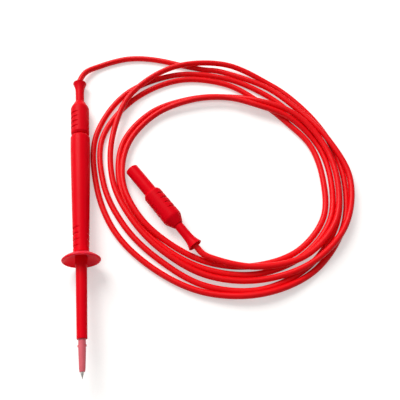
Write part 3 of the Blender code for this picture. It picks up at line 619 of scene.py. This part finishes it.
hub = round_corners([(GUARD_BORE_R, lining[0][1]), (GUARD_BORE_R, GUARD_START + GUARD_LIP),
                     (FRONT_BORE_R, GUARD_START + GUARD_LIP), (FRONT_BORE_R, GUARD_START),
                     (GUARD_HUB_R, GUARD_START)], GUARD_HUB_ROUND)
guard_profile = np.concatenate([dome, rim, lining[::-1], hub])
guard = add_skin("finger_guard_skin", turn(fill_in(guard_profile, STEP_FINE), probe, 128),
                 "probe", "finger_guard")
dress(guard, thin_red)

# %% [markdown]
# The barrel tapers gently to its mouth. Two small notches in the mouth let the sleeve's lugs pass when
# the sleeve is pushed in. A notch needs no cutting: the mouth's height simply dips where the angle is
# close to the notch, and every ring near the mouth follows it.

# %% The barrel
MOUTH = 125.2 * MM
MOUTH_R = 2.75 * MM
MOUTH_BORE_R = 2.05 * MM
MOUTH_LIP = 2.0 * MM
BARREL_BORE_R = 2.4 * MM
BARREL_REAR_R = 3.12 * MM
COLLAR_R = 3.3 * MM
COLLAR_START = 79.6 * MM
COLLAR_END = 85.6 * MM
STUB_R = 2.9 * MM
STUB_START = 68.0 * MM
ROD_BORE_R = 1.65 * MM
ROD_STOP = 77.6 * MM
NEEDLE_BORE_R = 1.15 * MM
SPRING_FLOOR = 95.0 * MM
NOTCH_WIDTH = 1.2 * MM
NOTCH_LENGTH = 1.2 * MM
NOTCH_SOFTNESS = 0.03 * MM
COLLAR_CHAMFER = 0.25 * MM
BARREL_ROUND = 0.16 * MM


def notched(radius, height, angle):
    """Lower the heights near the mouth by NOTCH_LENGTH where |r sin(angle)| is under half its width."""
    across = np.abs(radius * np.sin(angle))
    inside = 1 / (1 + np.exp((across - NOTCH_WIDTH / 2) / NOTCH_SOFTNESS))
    near = np.clip((height - (MOUTH - 2 * NOTCH_LENGTH)) / (2 * NOTCH_LENGTH), 0, 1)
    return radius, height - NOTCH_LENGTH * inside * near


barrel_corners = [(MOUTH_BORE_R, MOUTH), (MOUTH_R, MOUTH), (BARREL_REAR_R, COLLAR_END),
                  (COLLAR_R, COLLAR_END - COLLAR_CHAMFER), (COLLAR_R, COLLAR_START), (STUB_R, COLLAR_START),
                  (STUB_R, STUB_START), (ROD_BORE_R, STUB_START), (ROD_BORE_R, ROD_STOP),
                  (NEEDLE_BORE_R, ROD_STOP), (NEEDLE_BORE_R, SPRING_FLOOR),
                  (BARREL_BORE_R, SPRING_FLOOR), (BARREL_BORE_R, MOUTH - MOUTH_LIP),
                  (MOUTH_BORE_R, MOUTH - MOUTH_LIP)]
barrel_profile = fill_in(round_corners(barrel_corners, BARREL_ROUND), STEP_LONG)
barrel = add_skin("barrel", turn(barrel_profile, probe, 160, notched), "probe", "probe_barrel")
dress(barrel, hard_red)

# %% [markdown]
# The sleeve is the only piece that can be seen through. It is a thin tube of pink, slightly cloudy
# plastic, and the steel needle shows through it as a paler line. Two lugs on its sides stop it from
# turning.

# %% The sleeve
SLEEVE_END = 141.4 * MM
SLEEVE_START = 118.0 * MM
SLEEVE_REAR_R = 1.94 * MM
SLEEVE_FRONT_R = 1.63 * MM
SLEEVE_END_R = 1.40 * MM
SLEEVE_STRAIGHT = 5.5 * MM            # from the mouth to the start of the taper
SLEEVE_NOSE = 1.6 * MM
SLEEVE_BORE_R = 1.15 * MM
RING_FRONT = 122.9 * MM
RING_LENGTH = 2.0 * MM
RING_R = 2.3 * MM
LUG_PLACE = MOUTH + 3.4 * MM
LUG_REACH = 2.3 * MM
LUG_HALF = (0.6 * MM, 0.45 * MM)      # along the sleeve and across it
LUG_EDGE = 0.9                        # share of the half size where the lug's edge falls away
LUG_SOFTNESS = 0.05


def lugged(radius, height, angle):
    """Raise the outside to LUG_REACH over a small rounded patch at each side."""
    outside = radius > (SLEEVE_BORE_R + SLEEVE_FRONT_R) / 2
    lengthwise = np.abs(height - LUG_PLACE) / LUG_HALF[0]
    crosswise = np.abs(radius * np.sin(angle)) / LUG_HALF[1]
    inside = 1 / (1 + np.exp((np.maximum(lengthwise, crosswise) - LUG_EDGE) / LUG_SOFTNESS))
    return np.where(outside, radius + (LUG_REACH - radius) * inside, radius), height


sleeve_corners = [(SLEEVE_BORE_R, SLEEVE_END), (SLEEVE_END_R, SLEEVE_END),
                  (SLEEVE_FRONT_R, SLEEVE_END - SLEEVE_NOSE), (SLEEVE_REAR_R, MOUTH + SLEEVE_STRAIGHT),
                  (SLEEVE_REAR_R, RING_FRONT), (RING_R, RING_FRONT), (RING_R, RING_FRONT - RING_LENGTH),
                  (SLEEVE_REAR_R, RING_FRONT - RING_LENGTH), (SLEEVE_REAR_R, SLEEVE_START),
                  (SLEEVE_BORE_R, SLEEVE_START)]
sleeve_rounds = np.array([0.05, 0.10, 0.4, 0.4, 0.05, 0.1, 0.1, 0.05, 0.1, 0.05]) * MM
sleeve_profile = fill_in(round_corners(sleeve_corners, sleeve_rounds), STEP_TINY)
sleeve = add_skin("sprung_sleeve", turn(sleeve_profile, probe, 128, lugged), "sleeve", "tip_sleeve")

material, tree, output = new_material("cloudy pink polycarbonate")
place = add_node(tree, "ShaderNodeTexCoord")
haze = add_node(tree, "ShaderNodeTexNoise", {"Scale": 1 / (1.5 * MM), "Detail": 2.0},
                {"Vector": (place, "Object")})
tint = add_node(tree, "ShaderNodeMix", {"A": linear("#f87a84"), "B": linear("#e8626e")},
                {"Factor": (haze, "Fac")}, data_type="RGBA")
bump = add_node(tree, "ShaderNodeBump", {"Distance": 0.006 * MM, "Strength": 0.5}, {"Height": (haze, "Fac")})
skin = add_node(tree, "ShaderNodeBsdfPrincipled",
                {"IOR": 1.58, "Roughness": 0.30, "Specular IOR Level": 0.15, "Transmission Weight": 0.12},
                {"Base Color": (tint, "Result"), "Normal": (bump, "Normal")})
tree.links.new(skin.outputs[0], output.inputs["Surface"])
dress(sleeve, material)

# %% [markdown]
# The needle is hardened steel, ground to a point and polished. Grinding leaves rings round it that are
# a few hundredths of a millimetre apart. They are drawn five times coarser here, so that they break up
# the highlight a little instead of vanishing.

# %% The needle
NEEDLE_R = 1.0 * MM
NEEDLE_TIP = 144.9 * MM
NEEDLE_POINT = 2.6 * MM
NEEDLE_START = 70.6 * MM
NEEDLE_NIB = ((0.05 * MM, 0.015 * MM), (0.10 * MM, 0.12 * MM))    # radii and how far they lie from the tip
NEEDLE_EASE = (0.06 * MM, 0.25 * MM)  # where the point meets the shank, across and along
WAVES_PER_UNIT = 3.18                 # of Blender's wave texture at scale 1
METAL_SPREAD = (0.04, 0.05)           # how far the roughness strays below and above its value

point_end = NEEDLE_TIP - NEEDLE_POINT
needle_profile = np.array([(0.0, NEEDLE_TIP), *[(r, NEEDLE_TIP - back) for r, back in NEEDLE_NIB],
                           (NEEDLE_R - NEEDLE_EASE[0], point_end), (NEEDLE_R, point_end - NEEDLE_EASE[1]),
                           (NEEDLE_R, NEEDLE_START), (0.0, NEEDLE_START)])
needle = add_skin("needle", turn(fill_in(needle_profile, STEP_LONG), probe, 48), "probe", "probe_needle")


def metal(name, colour, roughness, ring_spacing, ring_depth):
    """A turned metal: fine rings along the probe, a little darker and rougher in the rings' grooves."""
    material, tree, output = new_material(name)
    place = add_node(tree, "ShaderNodeTexCoord")
    rings = add_node(tree, "ShaderNodeTexWave", {"Scale": 1 / (WAVES_PER_UNIT * ring_spacing),
                                                 "Distortion": 0.6, "Detail": 1.0},
                     {"Vector": (place, "Object")}, bands_direction="Y")
    shade = add_node(tree, "ShaderNodeMapRange", {"To Min": roughness - METAL_SPREAD[0],
                                                  "To Max": roughness + METAL_SPREAD[1]},
                     {"Value": (rings, "Fac")})
    bump = add_node(tree, "ShaderNodeBump", {"Distance": ring_depth, "Strength": 0.5},
                    {"Height": (rings, "Fac")})
    skin = add_node(tree, "ShaderNodeBsdfPrincipled", {"Base Color": linear(colour), "Metallic": 1.0},
                    {"Roughness": (shade, "Result"), "Normal": (bump, "Normal")})
    tree.links.new(skin.outputs[0], output.inputs["Surface"])
    return material


steel = metal("ground and polished steel", "#ece8e2", 0.30, 0.2 * MM, 0.002 * MM)
dress(needle, steel)

# %% [markdown]
# Both ends of the lead carry the same safety plug. Its grip and its bell are soft, and its shroud is the
# hard sleeve that stops fingers from reaching the pin. One function makes them for both plugs.

# %% The plugs
GRIP_FRONT_R = 5.6 * MM
GRIP_REAR_R = 5.75 * MM
GRIP_LENGTH = 26.2 * MM
GRIP_SHOULDER = 5.2 * MM
GRIP_EDGE = 0.7 * MM                  # chamfer round the flange face, across
GRIP_EDGE_LENGTH = 1.3 * MM           # and along
GRIP_CAVITY_R = 3.4 * MM
GRIP_GROOVES = 4
GRIP_GROOVE_PITCH = 3.6 * MM
GRIP_GROOVE_END = 4.8 * MM
FREE_GROOVE_ROLL = math.radians(-20)
BOOT_NECK_R = 2.72 * MM
BOOT_BELL_R = 4.28 * MM
BOOT_BELL_LENGTH = 8.0 * MM
BOOT_BELL_FLARE = 2.2                 # power of the bell's curve
BOOT_BELL_WALL = 0.7 * MM
BOOT_BORE_R = 2.1 * MM
BOOT_FRONT = -21.2 * MM
BOOT_FLANGE_R = 3.25 * MM
BOOT_FLANGE_LENGTH = 1.7 * MM
SHROUD_R = 4.0 * MM
SHROUD_WALL = 0.95 * MM
SHROUD_LENGTH = 20.3 * MM
SHROUD_ROOT = 6.0 * MM
SHROUD_WEB_FRONT = -3.0 * MM
PIN_STEM_BORE_R = 1.65 * MM
CAVITY_REAR = -23.2 * MM
SHROUD_SEAT = -6.3 * MM
HOLE_CLEARANCE = 0.15 * MM            # of the grip's holes, round the neck and the shroud
NECK_FACE = 0.3 * MM                  # flat ring round the neck's hole
BOOT_ROOT_ROUND = 0.1 * MM
BOOT_LIP_BULGE = 0.3                  # share of the bell's wall
SHROUD_ROUND = 0.22 * MM


def grip_radius(z):
    """The grip narrows slightly towards its flange."""
    return GRIP_FRONT_R + (GRIP_REAR_R - GRIP_FRONT_R) * np.clip(-z / (GRIP_LENGTH - GRIP_SHOULDER), 0, 1)


def make_plug(prefix, place, roll):
    """Grip, bell and shroud of one plug, over its three CAD nodes."""
    neck_hole = BOOT_NECK_R + HOLE_CLEARANCE
    neck_face = neck_hole + NECK_FACE
    shroud_hole = SHROUD_R + HOLE_CLEARANCE
    cone_start = -GRIP_LENGTH + GRIP_SHOULDER
    corners = [(GRIP_REAR_R, cone_start), (neck_face, -GRIP_LENGTH), (neck_hole, -GRIP_LENGTH),
               (neck_hole, CAVITY_REAR), (GRIP_CAVITY_R, CAVITY_REAR), (GRIP_CAVITY_R, SHROUD_SEAT),
               (shroud_hole, SHROUD_SEAT), (shroud_hole, 0.0), (GRIP_FRONT_R - GRIP_EDGE, 0.0),
               (GRIP_FRONT_R, -GRIP_EDGE_LENGTH)]
    rounds = np.array([0.9, 0.15, 0.1, 0.1, 0.1, 0.1, 0.1, 0.12, 0.3, 0.4]) * MM
    heights = np.linspace(-GRIP_EDGE_LENGTH - rounds[-1], cone_start + rounds[0], 150)[1:-1]
    side = np.stack([grip_radius(heights), heights], axis=1)
    centres = [-GRIP_GROOVE_END - GRIP_GROOVE_PITCH * k for k in range(GRIP_GROOVES)]
    grip = add_skin(f"{prefix}_moulded_grip",
                    turn(fill_in(np.concatenate([side, round_corners(corners, rounds)]), STEP_FINE),
                         place, 128, grooved(centres, grip_radius, roll)), "lead", f"{prefix}_grip")
    bell_rise = np.linspace(0, 1, 24)
    flare = bell_rise ** BOOT_BELL_FLARE
    drop = -PLUG_BODY_LENGTH + BOOT_BELL_LENGTH * (1 - bell_rise)
    bell = np.stack([BOOT_NECK_R + (BOOT_BELL_R - BOOT_NECK_R) * flare, drop], axis=1)
    mouth = BOOT_BELL_R - BOOT_BELL_WALL
    throat = np.stack([BOOT_BORE_R + (mouth - BOOT_BORE_R) * flare, drop], axis=1)[::-1]
    root = round_corners([(BOOT_BORE_R, BOOT_FRONT), (BOOT_FLANGE_R, BOOT_FRONT),
                          (BOOT_FLANGE_R, BOOT_FRONT - BOOT_FLANGE_LENGTH),
                          (BOOT_NECK_R, BOOT_FRONT - BOOT_FLANGE_LENGTH)], BOOT_ROOT_ROUND)
    lip_turn = np.linspace(0, math.pi, 8)[1:-1, None]
    lip_middle = (bell[-1] + throat[0]) / 2
    lip = (lip_middle + (bell[-1] - lip_middle) * np.cos(lip_turn)
           - np.array((0.0, BOOT_BELL_WALL * BOOT_LIP_BULGE)) * np.sin(lip_turn))
    boot = add_skin(f"{prefix}_bell", turn(fill_in(np.concatenate([root, bell, lip, throat]), STEP_FINE),
                                           place, 96), "lead", f"{prefix}_boot")
    shroud = add_skin(f"{prefix}_hard_shroud",
                      turn(fill_in(round_corners(
                          [(SHROUD_R - SHROUD_WALL, SHROUD_LENGTH), (SHROUD_R, SHROUD_LENGTH),
                           (SHROUD_R, -SHROUD_ROOT), (PIN_STEM_BORE_R, -SHROUD_ROOT),
                           (PIN_STEM_BORE_R, SHROUD_WEB_FRONT),
                           (SHROUD_R - SHROUD_WALL, SHROUD_WEB_FRONT)], SHROUD_ROUND), STEP_PLAIN),
                          place, 96), "lead", f"{prefix}_shroud")
    dress(grip, soft_red)
    dress(boot, soft_red)
    dress(shroud, hard_red)
    return [grip, boot, shroud]


on_the_lead = (make_plug("rear_plug", rear_plug, GROOVE_ROLL)
               + make_plug("free_plug", free_plug, FREE_GROOVE_ROLL))

# %% [markdown]
# The pin and its cap show in the open end of the free plug, and on the other plug when the probe is
# pulled off. They are turned from nickelled brass, so they are profiles too, with a domed end on the
# cap and a small break on every edge.

# %% The pins
PIN_CORNERS = ((0.0, 17.5), (1.3, 17.5), (1.3, 1.0), (2.0, 1.0), (2.0, -2.7), (1.5, -2.7), (1.5, -6.3),
               (1.8, -6.3), (1.8, -15.8), (1.0, -15.8), (1.0, -8.8), (0.0, -8.8))     # mm
CAP_CORNERS = ((0.0, 19.0), (2.0, 19.0), (2.0, 16.3), (1.45, 16.3), (1.45, 17.8), (0.0, 17.8))   # mm
EDGE_BREAK = 0.1              # mm
CAP_DOME = 0.9                # mm

brass = metal("nickelled turned brass", "#d8cba6", 0.30, 0.3 * MM, 0.002 * MM)


def turned_metal(name, corners, rounds, place, node):
    """A turned metal piece of a plug. Corners on the axis stay sharp, so the mesh closes there."""
    corners = np.array(corners)
    rounds = np.where(corners[:, 0] == 0, 0.0, rounds)
    profile = fill_in(round_corners(corners * MM, rounds * MM, 7), STEP_PLAIN)
    piece = add_skin(name, turn(profile, place, 64), "lead", node)
    dress(piece, brass)
    return piece


for prefix, place in (("rear_plug", rear_plug), ("free_plug", free_plug)):
    on_the_lead.append(turned_metal(f"{prefix}_brass_pin", PIN_CORNERS, EDGE_BREAK, place,
                                    f"{prefix}_pin"))
    on_the_lead.append(turned_metal(f"{prefix}_domed_cap", CAP_CORNERS,
                                    np.array((0.0, CAP_DOME) + (EDGE_BREAK,) * 4), place,
                                    f"{prefix}_pin_cap"))

# %% [markdown]
# The other inner pieces keep their solids, which are already the right shape. They only need metals and
# a plain cream insulator. The contact strips are nickelled brass, and the conductor is bare copper.

# %% Inner pieces
copper = metal("bare copper strand", "#c77b52", 0.38, 0.25 * MM, 0.01 * MM)
cream = moulded("cream nylon insulator", "#e4ddcd", "#dbd3c1", 0.45, 0.3 * MM, 0.003 * MM, 0.0, 0.5)
INNER = {"contact_cage": brass, "cable_clamp": brass, "conductor": copper}
for prefix in ("rear_plug", "free_plug"):
    for part_name, finish in INNER.items():
        node = frame["nodes"][f"{prefix}_{part_name}"]
        dress(node, finish)
        on_the_lead.append(node)
for node_name, finish in {"contact_rod": brass, "socket_contact": brass, "rod_guide": cream,
                          "socket_insulator": cream, "sleeve_spring": steel,
                          "spring_washer": steel}.items():
    dress(frame["nodes"][node_name], finish)
print("pieces on the lead:", len(on_the_lead))
